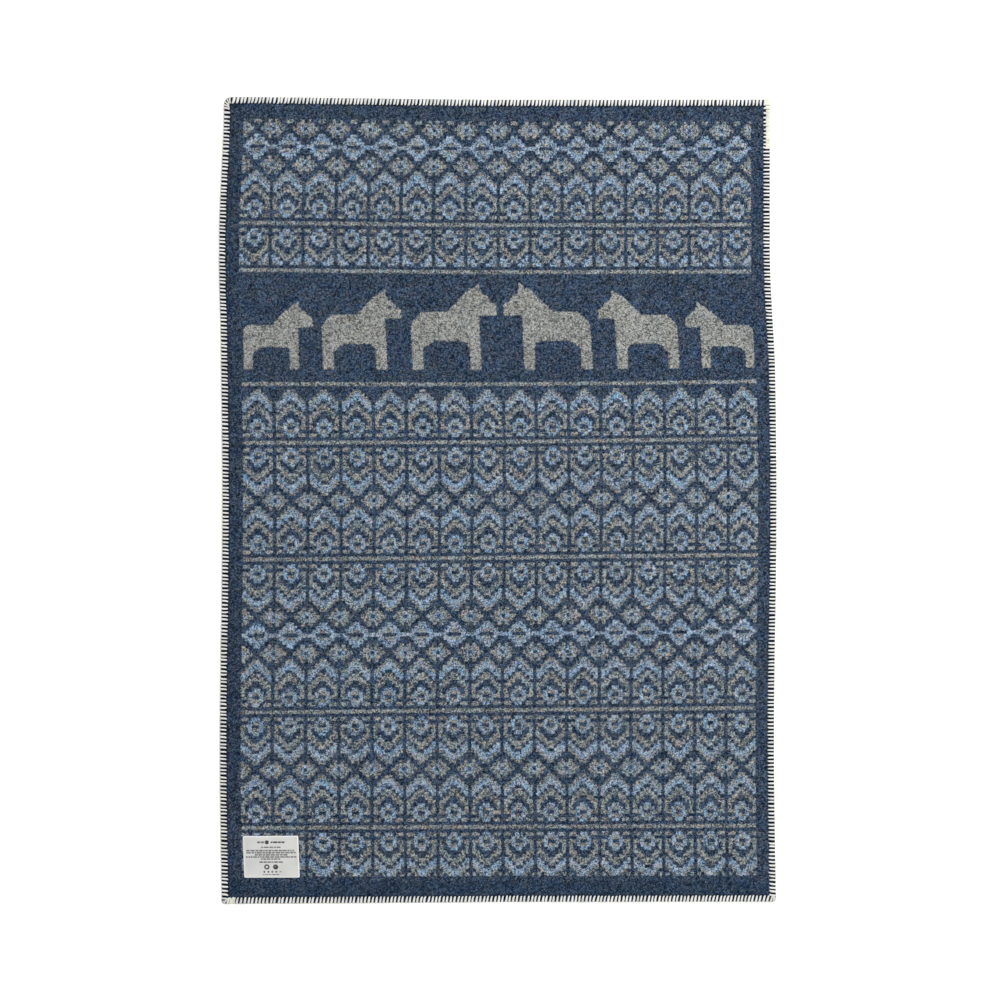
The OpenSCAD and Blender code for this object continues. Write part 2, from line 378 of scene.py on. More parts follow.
def horse_threads(i):
    """Which threads are horse i. The four inner horses have an eye, which is left navy."""
    low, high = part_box(f"horse_{i}")
    x, y = thread_places()
    width, height = high.x - low.x, high.y - low.y
    along = (x - low.x) / width if i <= 3 else (high.x - x) / width
    up = (y - low.y) / height
    shape = inside_outline(along, up, horse_outline(width, HORSE_SIZES[i - 1]))
    off = np.abs(along - EYE[0]) * width / THREAD_W + np.abs(up - EYE[1]) * height / THREAD_H
    return shape & (off >= EYE_THREADS) if 1 < i < 6 else shape


# ---- Pattern yarns ----

FINE = 2  # mesh cells in one thread, each way
MARGIN = 2  # mesh cells kept free round the field
BURIED = 0.2 * MM  # how far the outermost fibres dip into the ground
STRAY = 0.35 * MM  # unevenness of the yarns' borders
FLOAT_LUMPS = 0.07 * MM  # unevenness of their tops
FULL_HEIGHT_SHARE = 2 / 3  # share of yarn at which it stands at its full height


def lattice(draft):
    """Mesh points for the whole field, and how much of the cloth round each one is pattern yarn."""
    cells = np.pad(np.kron(draft, np.ones((FINE, FINE), draft.dtype)), MARGIN)
    around = np.pad(cells, 1)
    around = np.stack([around[:-1, :-1], around[1:, :-1], around[:-1, 1:], around[1:, 1:]])
    share = (around > 0).mean(axis=0)
    rows, cols = share.shape
    x = FIELD_X + (np.arange(cols) - MARGIN) * THREAD_W / FINE
    y = FIELD_Y + (np.arange(rows) - MARGIN) * THREAD_H / FINE
    x, y = np.meshgrid(x, y)
    edge = around.min(axis=0) < around.max(axis=0)
    x = x + RNG.normal(0, STRAY, x.shape) * edge
    y = y + RNG.normal(0, STRAY, y.shape) * edge
    rise = np.clip(share / FULL_HEIGHT_SHARE, 0, 1)
    z = TOP - BURIED + (FLOAT_TOP - TOP + BURIED) * rise + lumps(x.shape, FLOAT_LUMPS) * (share > 0)
    return np.stack([x.ravel(), y.ravel(), z.ravel()], axis=1), share.ravel()


def claim(owner):
    """Gives every free cell beside pattern yarn to a piece that it touches, so that each has a fringe."""
    fringe = np.zeros_like(owner)
    padded = np.pad(owner, 1)
    for dy in (0, 1, 2):
        for dx in (0, 1, 2):
            near = padded[dy : dy + owner.shape[0], dx : dx + owner.shape[1]]
            fringe = np.maximum(fringe, near)
    return np.where(owner > 0, owner, fringe)


def floats(name, number, material, nodes, slot):
    """Yarn floating on the face, in the lattice cells that belong to piece number."""
    width = OWNER.shape[1] + 1
    row, col = np.nonzero(OWNER == number)
    first = row * width + col
    corners = np.stack([first, first + 1, first + width + 1, first + width], axis=1)
    used, quads = np.unique(corners, return_inverse=True)
    piece = make(name, LATTICE[used], quads.reshape(-1, 4), material, nodes, slot)
    paint(piece, "yarn_share", SHARE[used])
    return piece


# ---- Edge stitching ----

# One turn of the yarn: distance in from the cloth's edge, height, half width and half thickness in mm,
# from its end on the underside, round the edge, to its end on the face
TURN = np.array([
    (8.4, 1.5, 0.5, 0.35), (7.2, 0.85, 1.1, 0.6), (4.2, 0.72, 1.3, 0.66), (1.2, 0.75, 1.35, 0.7),
    (-0.35, 1.2, 1.3, 0.72), (-0.78, 2.1, 1.3, 0.72), (-0.4, 3.1, 1.35, 0.75), (1.0, 3.85, 1.4, 0.78),
    (4.0, 4.1, 1.45, 0.8), (7.4, 4.1, 1.45, 0.75), (9.4, 3.85, 1.3, 0.62), (10.0, 2.6, 0.9, 0.45),
])  # fmt: skip
TURN_STEPS = 21  # rings of points along one turn
SECTION = 8  # points round the yarn
PITCH = 6 * MM
CAP = np.array([(0, 1, 2, 7), (7, 2, 3, 6), (6, 3, 4, 5)])
FACE_FROM, UNDER_TO = 0.55, 0.45  # shares of a turn where its part on the face begins, and its return ends
PLY_DEPTH, PLY_TWIST = 0.07, 9.0  # how deep the grooves between plies are, and how far they turn
# How uneven the turns are: in length, lean in mm, bow in mm, thickness and place along the edge in mm
UNEVEN_LENGTH, UNEVEN_LEAN, UNEVEN_BOW, UNEVEN_SIZE, UNEVEN_PLACE = 0.025, 0.3, 0.25, 0.06, 0.2
BOW_WAVES = 1.3  # half waves of bow along the part on the face
UNDER_BACK = PITCH / 2  # how far back along the edge a turn's return on the underside ends
CLEAR = 0.05 * MM  # least height of the yarn above the floor


def turn_path(scale=1.0):
    """The turn's points, evenly spread, with its end on the face drawn in by scale."""
    at = np.linspace(0, 1, len(TURN))
    t = np.linspace(0, 1, TURN_STEPS)
    path = np.stack([smooth(t, at, TURN[:, k]) for k in range(4)], axis=1) * MM
    path[:, 0] = np.where(path[:, 0] > 0, path[:, 0] * scale, path[:, 0])
    return path


def unit(vectors):
    """Vectors with their length made one."""
    return vectors / np.linalg.norm(vectors, axis=2, keepdims=True)


def turn_quads(count):
    """Quads of so many closed tubes, one after the other."""
    ring = np.arange(SECTION)
    after = np.roll(ring, -1)
    step = np.arange(TURN_STEPS - 1)[:, None] * SECTION
    tube = np.stack([step + ring, step + after, step + SECTION + after, step + SECTION + ring], axis=2)
    caps = np.concatenate([CAP, CAP[:, ::-1] + (TURN_STEPS - 1) * SECTION])
    one = np.concatenate([tube.reshape(-1, 4), caps])
    return (np.arange(count)[:, None, None] * (TURN_STEPS * SECTION) + one[None]).reshape(-1, 4)


def turn_points(centre, tangents, half_w, half_t):
    """Points of the tubes round their middle lines, flattened, and grooved between their plies."""
    ahead = unit(np.gradient(centre, axis=1))
    side = unit(tangents[:, None, :] - ahead * (ahead * tangents[:, None, :]).sum(2, keepdims=True))
    over = np.cross(ahead, side)
    angle = np.arange(SECTION) / SECTION * 2 * math.pi
    t = np.linspace(0, 1, TURN_STEPS)[None, :, None]
    ply = 1 + PLY_DEPTH * np.cos(2 * (angle - t * PLY_TWIST))
    across = half_w[:, :, None] * np.cos(angle) * ply
    thick = half_t[:, :, None] * np.sin(angle) * ply
    around = side[:, :, None, :] * across[..., None] + over[:, :, None, :] * thick[..., None]
    points = (centre[:, :, None, :] + around).reshape(-1, 3)
    points[:, 2] = np.maximum(points[:, 2], CLEAR)
    return points


def stitches(name, ways, material, nodes, lean, scale, lift=0.0, widen=1.0, flare=0.0):
    """Turns of yarn over the edge, from their anchors on it, the ways it runs there and the ways in."""
    anchors, tangents, inwards = ways
    count = len(anchors)
    paths = np.stack([turn_path(s) for s in scale * RNG.normal(1, UNEVEN_LENGTH, count)])
    depth, height, half_w, half_t = (paths[:, :, k] for k in range(4))
    t = np.linspace(0, 1, TURN_STEPS)[None, :]
    on_face = np.clip((t - FACE_FROM) / (1 - FACE_FROM), 0, 1)
    under = np.clip((UNDER_TO - t) / UNDER_TO, 0, 1)
    slant = (lean + RNG.normal(0, UNEVEN_LEAN, count))[:, None] * MM
    bow = RNG.normal(0, UNEVEN_BOW, count)[:, None] * MM * np.sin(on_face * math.pi * BOW_WAVES)
    along = slant * on_face + bow - UNDER_BACK * under
    size = (RNG.normal(1, UNEVEN_SIZE, count) * widen)[:, None]
    size = size * (1 + np.reshape(flare, (-1, 1)) * (1 - on_face))
    centre = (
        anchors[:, None, :]
        + tangents[:, None, :] * along[:, :, None]
        + inwards[:, None, :] * depth[:, :, None]
        + UP * (height + lift * MM * on_face)[:, :, None]
    )
    points = turn_points(centre, tangents, half_w * size, half_t)
    return make(name, points, turn_quads(count), material, nodes, "edge_yarn")


def side_frame(turned):
    """A side's middle point, the way it runs, the way in and half its length, from the right side on."""
    half, length = (HALF_W, HALF_L) if turned % 2 == 0 else (HALF_L, HALF_W)
    out = np.array([(1, 0), (0, 1), (-1, 0), (0, -1)][turned], float)
    run = np.array([-out[1], out[0]])
    return out * half, run, -out, length


def edge_turns(turned, fan=()):
    """Anchors, tangents and inward ways of one side's turns, with a fan of turns round its far corner."""
    middle_point, run, inward, length = side_frame(turned)
    first, last = CORNER_RADII[turned - 1] - length, length - CORNER_RADII[turned]
    count = round((last - first) / PITCH)
    places = first + (np.arange(count) + 0.5) / count * (last - first)
    places += RNG.normal(0, UNEVEN_PLACE * MM, count)
    anchors = [middle_point + run * s for s in places]
    tangents, inwards = [run] * count, [inward] * count
    hub = middle_point + inward * CORNER_RADII[turned] + run * last
    for angle in fan:
        a = math.radians(angle)
        out = -inward * math.cos(a) + run * math.sin(a)
        anchors.append(hub + out * CORNER_RADII[turned])
        tangents.append(np.array([-out[1], out[0]]))
        inwards.append(-out)
    return [np.column_stack([np.array(v), np.zeros(len(v))]) for v in (anchors, tangents, inwards)]


RIM_RADIUS, RIM_FLATTEN = 0.55 * MM, 1.6  # the rim strand's radius, and how much taller it is than wide
RIM_OUT, RIM_RISE = 0.7 * MM, 0.1 * MM  # where it lies, out from the cloth's edge and above its middle
RIM_SIDES, RIM_STEP, RIM_UNEVEN = 6, 4 * MM, 0.08 * MM


def rim_line():
    """Points along the rim, all the way round, at even steps."""
    points = []
    for k, (across, along) in enumerate(((1, 1), (-1, 1), (-1, -1), (1, -1))):
        hub = np.array([across * (HALF_W - CORNER_RADII[k]), along * (HALF_L - CORNER_RADII[k])])
        for a in np.radians(np.linspace(k * 90, k * 90 + 90, 7)):
            points.append(hub + (CORNER_RADII[k] + RIM_OUT) * np.array([math.cos(a), math.sin(a)]))
    dense = []
    for a, b in zip(points, points[1:] + points[:1], strict=True):
        n = max(1, int(np.linalg.norm(b - a) / RIM_STEP))
        dense += [a + (b - a) * k / n for k in range(n)]
    return np.array(dense)


def edge_cord(name, material):
    """The thin strand that runs along the rim between turns."""
    line = rim_line()
    count = len(line)
    ahead = np.roll(line, -1, 0) - np.roll(line, 1, 0)
    ahead /= np.linalg.norm(ahead, axis=1)[:, None]
    out = np.column_stack([ahead[:, 1], -ahead[:, 0], np.zeros(count)])
    height = np.full(count, MIDDLE + RIM_RISE)
    centre = np.column_stack([line + RNG.normal(0, RIM_UNEVEN, line.shape), height])
    angle = (np.arange(RIM_SIDES) / RIM_SIDES * 2 * math.pi)[None, :, None]
    around = out[:, None, :] * np.cos(angle) + UP * RIM_FLATTEN * np.sin(angle)
    points = centre[:, None, :] + RIM_RADIUS * around
    i, k = np.arange(count)[:, None], np.arange(RIM_SIDES)[None, :]
    i2, k2 = (i + 1) % count * RIM_SIDES, (k + 1) % RIM_SIDES
    i = i * RIM_SIDES
    quads = np.stack([i + k, i2 + k, i2 + k2, i + k2], axis=2).reshape(-1, 4)
    return make(name, points.reshape(-1, 3), quads, material, (), "edge_yarn")


# ---- Label ----

# The label shrinks a little in width as it is sewn on, and sits slightly high in its CAD box
LABEL_SHRINK, LABEL_RISE = 3 * MM, 1.5 * MM
LABEL_LO, LABEL_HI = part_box("label")
LABEL_HI.x -= LABEL_SHRINK
LABEL_HI.y += LABEL_RISE
LABEL_LO.y += LABEL_RISE
LABEL_MID = (LABEL_LO + LABEL_HI) / 2
LABEL_W, LABEL_L = LABEL_HI.x - LABEL_LO.x, LABEL_HI.y - LABEL_LO.y
LABEL_SKEW = -0.02  # how far its sides lean, sideways for each step up
HEM = 3.2 * MM
LABEL_CORNER = 2.2 * MM
LABEL_CELLS = (66, 50)  # grid lines across and along its middle
LABEL_RIM = 5 * MM  # width of its border that has closer grid lines
LABEL_STOPS = np.array([0, 0.3, 0.9, 1.8, 2.7, 3.4, 4.2]) * MM  # those lines, from its edge
TAPE = 0.28 * MM  # height of its face above its underside, where it is one layer
HEM_RISE, HEM_SLOPE = 0.22 * MM, 0.7 * MM  # the folded hem's height over that, and its inner slope
LABEL_BOW, BOW_UNEVEN = 0.5 * MM, 0.35
CREASE, CREASE_AT, CREASE_WIDE = 0.16 * MM, 0.62, 0.09  # a slanting crease: height, place and width
FOLD_LINES, FOLD_SHARES = (0, 0.3, 0.9), (1.0, 0.3, 0)  # mm from its edge, and how far it is turned down
FOLD_SINK = 0.1 * MM
HEM_FADE = (1.6, 2.6)  # mm from its edge where the painted highlight along the hem ends
INK_RISE = 0.05 * MM
WORD_SHORT, WORD_LONG, WORD_REST = 2.2, 7.5, 1.5  # bars of wording in mm, and the least that is worth one
SEWN_RISE, SEWN_SINK = 0.2 * MM, 0.12 * MM


def skewed(points):
    """Points of the label, leaning as it was sewn on."""
    points[:, 0] += LABEL_SKEW * (points[:, 1] - LABEL_MID.y)
    return points


def label_height(x, y):
    """The label's face: a thin tape with a folded hem, slightly bowed between its seams."""
    u, v = (x - LABEL_MID.x) / (LABEL_W / 2), (y - LABEL_MID.y) / (LABEL_L / 2)
    inside = np.minimum((1 - np.abs(u)) * LABEL_W, (1 - np.abs(v)) * LABEL_L) / 2
    hem = HEM_RISE * (1 - np.clip((inside - HEM) / HEM_SLOPE, 0, 1))
    bow = LABEL_BOW * (1 - u**2) * (1 - v**2) * (1 + BOW_UNEVEN * np.sin(5.1 * u + 3.3 * v))
    crease = CREASE * np.exp(-(((u - CREASE_AT + 0.5 * v) / CREASE_WIDE) ** 2)) * (1 - v**2)
    return LABEL_LO.z + TAPE + hem + bow + crease


def make_label(material):
    """The label as a sheet with softly rounded corners and its border turned down to the cloth."""
    lines = []
    for half, n in zip((LABEL_W / 2, LABEL_L / 2), LABEL_CELLS, strict=True):
        inner = np.linspace(-half + LABEL_RIM, half - LABEL_RIM, n)
        lines.append(np.concatenate([-half + LABEL_STOPS, inner, (half - LABEL_STOPS)[::-1]]))
    x, y = (a.ravel() for a in np.meshgrid(*lines))
    x, y, inside = round_off(x, y, LABEL_W / 2, LABEL_L / 2, LABEL_CORNER)
    z = label_height(x + LABEL_MID.x, y + LABEL_MID.y)
    drop = np.interp(inside / MM, FOLD_LINES, FOLD_SHARES)
    z = z * (1 - drop) + (TOP - FOLD_SINK) * drop
    points = np.column_stack([x + LABEL_MID.x, y + LABEL_MID.y, z])
    quads = grid_quads(len(lines[1]), len(lines[0]))
    piece = make("care_label", skewed(points), quads, material, ("label",), "label_tape")
    # Where the painted highlight along the hem lies
    paint(piece, "hem", np.interp(inside / MM, HEM_FADE, (1, 0)))
    return piece


def on_label(x, y):
    """Points in mm from the label's middle, put just above its face."""
    x, y = LABEL_MID.x + np.asarray(x) * MM, LABEL_MID.y + np.asarray(y) * MM
    return skewed(np.column_stack([x, y, label_height(x, y) + INK_RISE]))


def bar(x, y, w, h):
    """A printed bar, split along its length so that it follows the label."""
    n = max(2, int(w / 2) + 1)
    across, along = np.meshgrid(np.linspace(x - w / 2, x + w / 2, n), (y - h / 2, y + h / 2))
    return on_label(across.ravel(), along.ravel()), grid_quads(2, n)


def band_ring(x, y, outer, inner, sides):
    """A printed ring, round or with few sides."""
    a = np.arange(sides) / sides * 2 * math.pi
    radii = np.array([inner, outer])[:, None]
    points = on_label((x + radii * np.cos(a)).ravel(), (y + radii * np.sin(a)).ravel())
    i, n = np.arange(sides), (np.arange(sides) + 1) % sides
    return points, np.stack([i, i + sides, n + sides, n], axis=1)


def words(y, half, height, gap=1.1, mid=0.0):
    """A line of short bars of uneven length, as small wording looks from afar."""
    made, x = [], mid - half
    while x < mid + half - WORD_REST:
        w = min(float(RNG.uniform(WORD_SHORT, WORD_LONG)), mid + half - x)
        made.append(bar(x + w / 2, y, w, height))
        x += w + gap
    return made


def join(parts):
    """Several (points, quads) as one."""
    points = np.concatenate([p for p, _ in parts])
    shift = np.cumsum([0] + [len(p) for p, _ in parts[:-1]])
    return points, np.concatenate([q + s for (_, q), s in zip(parts, shift, strict=True)])


def make_print(ink, faint_ink):
    """Generic printing: bars for the wording, plain rings and dots for the care signs."""
    strong = [band_ring(-6.2, 24, 3.3, 0.1, 24)] + words(24, 11.5, 2.8, 1.0, 11.5) + words(-8.6, 19, 1.9)
    strong += [band_ring(-7.4, -16.6, 4.3, 2.0, 24), band_ring(6.4, -16.6, 4.2, 0.6, 24)]
    strong += [band_ring(x, -24.6, 1.6, 0.1, 8) for x in (-11.7, -5.1, 0.9, 7.2)]
    faint = words(24, 5.5, 3.2, 1.0, -16) + words(15.8, 15.5, 2.2) + words(-3.6, 16, 2.2)
    faint += words(-29.2, 14, 1.6) + [bar(13.5, -24.6, 2.6, 1.6)]
    for y, half in ((10.3, 39), (6.8, 39), (3.3, 26), (-0.2, 40)):
        faint += words(y, half, 2.5)
    piece = make("care_print", *join(strong), ink, ("label_print",), "label_ink")
    pale = make("care_print_small", *join(faint), faint_ink, (), "label_ink")
    return piece, pale


def make_thread(material):
    """The machine stitches that sew the label on, just inside its folded edge."""
    inset, step, long, wide = 1.9, 3.4, 2.5, 0.28
    half_w, half_l = LABEL_W / MM / 2 - inset, LABEL_L / MM / 2 - inset
    parts = []
    for side in (-1, 1):
        for x in np.arange(-half_w + step, half_w - step / 2, step):
            parts.append(sewn(x, side * half_l, long, wide))
        for y in np.arange(-half_l + step, half_l - step / 2, step):
            parts.append(sewn(side * half_w, y, wide, long))
    return make("care_thread", *join(parts), material, ("label_thread",), "label_sewing")


def sewn(x, y, w, h):
    """One short stitch with a rounded top."""
    u = np.array([-1, -0.7, 0, 0.7, 1])
    gx, gy = (a.ravel() for a in np.meshgrid(u, u))
    points = on_label(x + gx * w / 2, y + gy * h / 2)
    points[:, 2] += SEWN_RISE * (1 - gx**4) * (1 - gy**4) - SEWN_SINK
    return points, grid_quads(5, 5)


# ---- Materials ----


def linear(r, g, b):
    """A screen colour, 0 to 255, as the shader's linear colour."""
    shares = (r / 255, g / 255, b / 255)
    return tuple(c / 12.92 if c <= 0.04045 else ((c + 0.055) / 1.055) ** 2.4 for c in shares) + (1,)


class Look:
    """A node material being put together."""

    def __init__(self, name, roughness=0.9, sheen=0.0, specular=0.3):
        self.material = bpy.data.materials.new(name)
        self.material.use_nodes = True
        self.tree = self.material.node_tree
        self.shader = self.tree.nodes["Principled BSDF"]
        self.shader.inputs["Roughness"].default_value = roughness
        self.shader.inputs["Sheen Weight"].default_value = sheen
        self.shader.inputs["Sheen Roughness"].default_value = 0.5
        self.shader.inputs["Specular IOR Level"].default_value = specular
        self.place = self.add("ShaderNodeTexCoord").outputs["Object"]

    def add(self, kind, **settings):
        """A new node with these settings."""
        node = self.tree.nodes.new(kind)
        for key, value in settings.items():
            setattr(node, key, value)
        return node

    def link(self, source, target):
        """Joins two sockets."""
        self.tree.links.new(source, target)

    def noise(self, scale, detail=2.0, rough=0.5, bend=0.0, shift=(0, 0, 0), stretch=(1, 1, 1), output="Fac"):
        """Noise with features about 1/scale metres across."""
        move = self.add("ShaderNodeMapping")
        move.inputs["Location"].default_value = shift
        move.inputs["Scale"].default_value = stretch
        self.link(self.place, move.inputs["Vector"])
        node = self.add("ShaderNodeTexNoise")
        for key, value in (("Scale", scale), ("Detail", detail), ("Roughness", rough), ("Distortion", bend)):
            node.inputs[key].default_value = value
        self.link(move.outputs["Vector"], node.inputs["Vector"])
        return node.outputs[output]

    def ramp(self, source, stops):
        """Colours at shares of the source, blended between."""
        node = self.add("ShaderNodeValToRGB")
        ramp = node.color_ramp
        while len(ramp.elements) < len(stops):
            ramp.elements.new(0.5)
        for element, (at, colour) in zip(ramp.elements, stops, strict=True):
            element.position, element.color = at, colour
        self.link(source, node.inputs["Fac"])
        return node.outputs["Color"]

    def math(self, operation, a, b):
        """A value worked out from two values or sockets."""
        node = self.add("ShaderNodeMath", operation=operation)
        for value, socket in zip((a, b), node.inputs, strict=False):
            if isinstance(value, (int, float)):
                socket.default_value = value
            else:
                self.link(value, socket)
        return node.outputs["Value"]

    def mix(self, a, b, share, blend="MIX"):
        """Two colours or sockets, blended."""
        node = self.add("ShaderNodeMix", data_type="RGBA", blend_type=blend)
        for value, socket in ((share, node.inputs["Factor"]), (a, node.inputs["A"]), (b, node.inputs["B"])):
            if isinstance(value, (int, float, tuple)):
                socket.default_value = value
            else:
                self.link(value, socket)
        return node.outputs["Result"]

    def colour(self, source):
        """Gives the material its colour."""
        self.link(source, self.shader.inputs["Base Color"])

    def rough(self, source, low, high):
        """Gives it a roughness that goes from low to high with the source."""
        node = self.add("ShaderNodeMapRange")
        node.inputs["To Min"].default_value, node.inputs["To Max"].default_value = low, high
        self.link(source, node.inputs["Value"])
        self.link(node.outputs["Result"], self.shader.inputs["Roughness"])

    def bump(self, source, depth, strength):
        """Gives it relief of this depth in metres."""
        node = self.add("ShaderNodeBump")
        node.inputs["Strength"].default_value, node.inputs["Distance"].default_value = strength, depth
        self.link(source, node.inputs["Height"])
        self.link(node.outputs["Normal"], self.shader.inputs["Normal"])


# Features of brushed wool, for each metre
CURLS, RIDGES, FLECKS, CASTS, CLOUDS = 380, 230, 260, 75, 42
RIDGE_DEPTH = -1.4  # the dark lines between curls, against the curls themselves
STRAYS, STRAY_REACH = 330, 3.2  # stray fibres for each metre, and how far they leave their own yarn
WOOL_RELIEF, WOOL_BUMP = 1.2 * MM, 0.5
WOOL_ROUGH, WOOL_SMOOTH = 0.98, 0.82


def moved(shift, by):
    """Another place in the noise."""
    return tuple(s + by for s in shift)


def fleece(look, colours, tint, shift):
    """Colour of brushed melange wool, with thin bright curls, dark pits and tinted flecks, and its relief."""
    pit, body, fibre, knee = colours
    curl = look.noise(CURLS, 2.0, 0.6, 1.5, shift)
    ridge = look.noise(RIDGES, 1.0, 0.5, 1.0, moved(shift, 9))
    ridge = look.math("ABSOLUTE", look.math("SUBTRACT", ridge, 0.5), 0)
    mixed = look.math("ADD", curl, look.math("MULTIPLY", ridge, RIDGE_DEPTH))
    base = look.ramp(mixed, ((0.25, pit), (knee, body), (0.53, fibre)))
    fleck = look.noise(FLECKS, 1, 0.5, 0.0, moved(shift, 3), output="Color")
    base = look.mix(base, fleck, tint * FLECK_SHARE, "OVERLAY")
    cast = look.ramp(look.noise(CASTS, 3, 0.6, 0.5, moved(shift, 5)), ((0.33, WARM), (0.67, COOL)))
    base = look.mix(base, cast, tint, "MULTIPLY")
    cloud = look.ramp(look.noise(CLOUDS, 2, 0.5, 0.3, shift), ((0.3, DULL), (0.7, BRIGHT)))
    return look.mix(base, cloud, 1.0, "MULTIPLY"), mixed, curl


def ground_wool(name, colours):
    """The navy ground, with painted shade: a deeper blue below the pattern, darker left of it, and darker
    between the edge stitches, where they also pack the cloth down.
    """
    look = Look(name, sheen=0.03, specular=0.08)
    base, relief, curl = fleece(look, colours, 1.0, (0, 0, 0))
    # Painted shade, towards a deeper blue, on the plain border below the pattern
    painted_shade_below = look.add("ShaderNodeAttribute", attribute_name="painted_shade_below").outputs["Fac"]
    base = look.mix(base, PAINTED_SHADE_BLUE, painted_shade_below)
    # Painted shade between the edge stitches, where the cloth is also packed down, and on the border left of
    # the pattern
    packing_and_shade = look.add("ShaderNodeAttribute", attribute_name="packing_and_shade").outputs["Fac"]
    look.colour(look.mix(base, PACKED_SHADE_DARK, look.math("MULTIPLY", packing_and_shade, PACKED_SHADE_SHARE)))
    look.rough(curl, WOOL_ROUGH, WOOL_SMOOTH)
    look.bump(relief, WOOL_RELIEF, WOOL_BUMP)
    return look.material


def pattern_wool(name, ground, colours, tint, shift):
    """Pattern yarn, whose fibres thin out into the navy ground along its borders."""
    look = Look(name, sheen=0.03, specular=0.08)
    under, _, _ = fleece(look, ground, 1.0, (0, 0, 0))
    over, relief, curl = fleece(look, colours, tint, shift)
    share = look.add("ShaderNodeAttribute", attribute_name="yarn_share").outputs["Fac"]
    stray = look.noise(STRAYS, 2, 0.6, 1.0, moved(shift, 21))
    stray = look.math("MULTIPLY", look.math("SUBTRACT", stray, 0.5), STRAY_REACH)
    cover = look.ramp(look.math("ADD", share, stray), ((0.28, (0, 0, 0, 1)), (0.72, (1, 1, 1, 1))))
    look.colour(look.mix(under, over, cover))
    look.rough(curl, WOOL_ROUGH, WOOL_SMOOTH)
    look.bump(relief, WOOL_RELIEF, WOOL_BUMP)
    return look.material


def yarn_look(name, body, shade):
    """Soft spun yarn: fine fibres, with broad patches of a slightly darker shade."""
    look = Look(name, sheen=0.2)
    fibres = look.noise(900, 2, 0.6, 0.6)
    broad = look.noise(60, 2, 0.5, 0.0, (1, 2, 0))
    mixed = look.math("ADD", look.math("MULTIPLY", fibres, 0.5), look.math("MULTIPLY", broad, 0.5))
    look.colour(look.ramp(mixed, ((0.35, shade), (0.55, body))))
    look.rough(fibres, 0.95, 0.8)
    look.bump(fibres, 0.25 * MM, 0.5)
    return look.material


def satin(name, body, shade):
    """Woven satin tape, with its fine weft lines, a soft gloss and a painted highlight along its hem."""
    look = Look(name, roughness=0.45, specular=0.4)
    lines = look.noise(1400, 2, 0.5, 0.0, (0, 0, 0), (0.15, 1, 1))
    broad = look.noise(40, 2, 0.5)
    # Painted highlight along the label's folded hem
    hem = look.add("ShaderNodeAttribute", attribute_name="hem").outputs["Fac"]
    look.colour(look.mix(look.ramp(broad, ((0.35, shade), (0.6, body))), HEM_HIGHLIGHT, hem))
    look.rough(lines, 0.38, 0.55)
    look.bump(lines, 0.08 * MM, 0.4)
    return look.material


def ink(name, body, thin):
    """Print that sinks unevenly into the satin."""
    look = Look(name, roughness=0.6, specular=0.3)
    soaked = look.noise(700, 2, 0.6)
    look.colour(look.ramp(soaked, ((0.38, body), (0.6, thin))))
    look.rough(soaked, 0.5, 0.7)
    look.bump(soaked, 0.03 * MM, 0.3)
    return look.material


def floor_look():
    """A plain pale floor, lifted to the white of the photo's backdrop."""
    look = Look("pale_floor", roughness=0.9, specular=0.1)
    look.shader.inputs["Base Color"].default_value = (0.88, 0.88, 0.88, 1)
    look.shader.inputs["Emission Color"].default_value = (1, 1, 1, 1)
    look.shader.inputs["Emission Strength"].default_value = 0.5
    return look.material


FLECK_SHARE = 0.3  # strength of the small tinted flecks in the wool
WARM, COOL = (1.18, 1.0, 0.87, 1), (0.82, 1.0, 1.13, 1)
DULL, BRIGHT = (0.88, 0.88, 0.88, 1), (1.12, 1.12, 1.12, 1)
# Colour of the painted shade on the plain border below the pattern
PAINTED_SHADE_BLUE = (0, 0.02, 0.049, 1)
# Colour and strength of the painted shade between the edge stitches and left of the pattern
PACKED_SHADE_DARK, PACKED_SHADE_SHARE = (0, 0.003, 0.009, 1), 0.88
# Colour of the painted highlight along the label's hem
HEM_HIGHLIGHT = linear(246, 246, 244)
# Colours of each wool: its pits, its body and its bright fibres, and how high in the relief the body lies
NAVY_WOOL = (linear(17, 29, 45), linear(44, 59, 79), linear(95, 110, 131), 0.43)
BLUE_WOOL = (linear(50, 68, 90), linear(112, 132, 152), linear(183, 201, 219), 0.39)
GREY_WOOL = (linear(46, 53, 60), linear(103, 109, 112), linear(181, 187, 187), 0.39)
PALE_WOOL = (linear(76, 79, 77), linear(132, 134, 131), linear(187, 188, 184), 0.39)
navy_wool = ground_wool("navy_wool", NAVY_WOOL)
blue_wool = pattern_wool("light_blue_wool", NAVY_WOOL, BLUE_WOOL, 1.0, (5, 1, 0))
grey_wool = pattern_wool("grey_wool", NAVY_WOOL, GREY_WOOL, 0.8, (2, 7, 0))
horse_wool = pattern_wool("horse_wool", NAVY_WOOL, PALE_WOOL, 0.22, (3, 4, 0))
cream_yarn = yarn_look("cream_yarn", linear(245, 245, 242), linear(206, 206, 204))
warm_yarn = yarn_look("warm_cream_yarn", linear(240, 239, 221), linear(214, 212, 192))
label_satin = satin("label_satin", linear(221, 221, 217), linear(211, 211, 207))
label_ink = ink("label_ink", linear(38, 38, 42), linear(96, 96, 98))
label_faint_ink = ink("label_faint_ink", linear(76, 76, 78), linear(150, 150, 150))
sewing = yarn_look("sewing_thread", linear(226, 226, 222), linear(206, 206, 200))

# ---- Build ----

face = cloth("ground_face", FACE_STEP, RIM_HEIGHTS, NAP, False, navy_wool, "cloth_face")
back = cloth("ground_back", BACK_STEP, BACK_HEIGHTS, 0.0, True, navy_wool, "cloth_back")

# Rows of each motif band, from the top one down
BAND_ROWS = ((181, 209), (168, 180), (121, 136), (89, 120), (47, 88), (15, 46), (0, 14))


